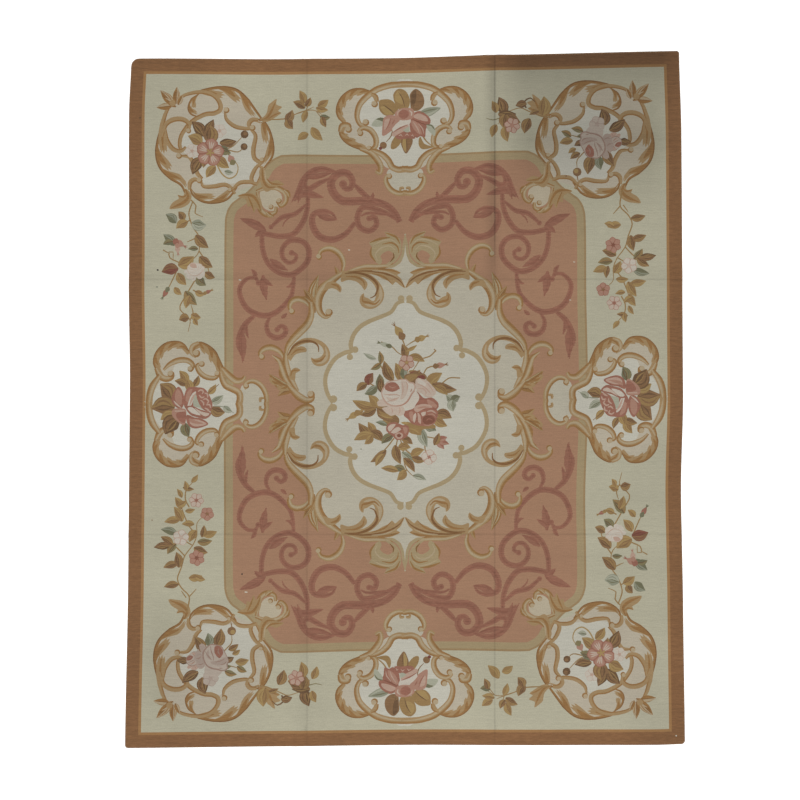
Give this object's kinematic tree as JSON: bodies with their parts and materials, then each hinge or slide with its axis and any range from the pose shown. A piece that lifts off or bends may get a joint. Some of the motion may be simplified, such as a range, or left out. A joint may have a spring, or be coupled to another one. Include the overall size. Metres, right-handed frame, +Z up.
{
  "type": "flat tapestry-woven area rug",
  "caption": "Flat tapestry-woven wool rug opened out on a floor, with a plain bordered edge, soft fold lines and a traditional floral medallion and scroll pattern.",
  "frame": {"origin": "on the floor, under the middle of the rug's outline", "axes": "+X to the right across the width, +Y up the length as the pattern's middle bouquet stands, +Z up from the floor"},
  "size_m": [2.4686, 3.0736, 0.0074],
  "materials": {
    "wool": "matt woven wool"
  },
  "bodies": {
    "root": {"rug": "wool"}
  },
  "joints": []
}
